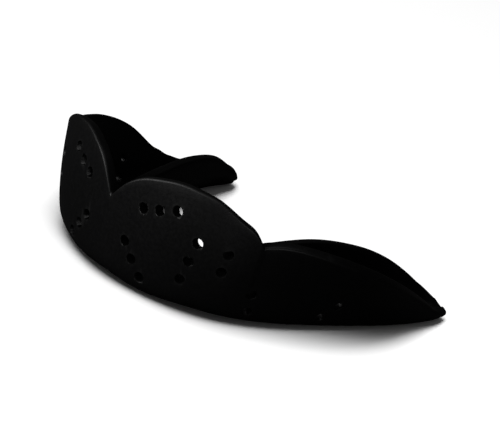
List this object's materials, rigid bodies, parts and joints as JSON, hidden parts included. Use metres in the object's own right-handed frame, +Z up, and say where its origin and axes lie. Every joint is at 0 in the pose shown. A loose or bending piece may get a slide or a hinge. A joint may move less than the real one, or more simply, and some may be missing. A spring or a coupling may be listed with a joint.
{
  "type": "sports mouthguard",
  "caption": "Black perforated sports mouthguard for the upper teeth: a thin moulded U-shaped tray with a scalloped front flange.",
  "frame": {"origin": "bottom centre of the part's box, on the plane the underside of both wings rests on", "axes": "-Y out of the mouth through the midline notch, +Z up from the bite plate towards the gums, +X towards the wearer's left"},
  "size_m": [0.0616, 0.0522, 0.0196],
  "materials": {
    "thermoplastic": "satin"
  },
  "bodies": {
    "root": {"mouthguard": "thermoplastic"}
  },
  "joints": []
}
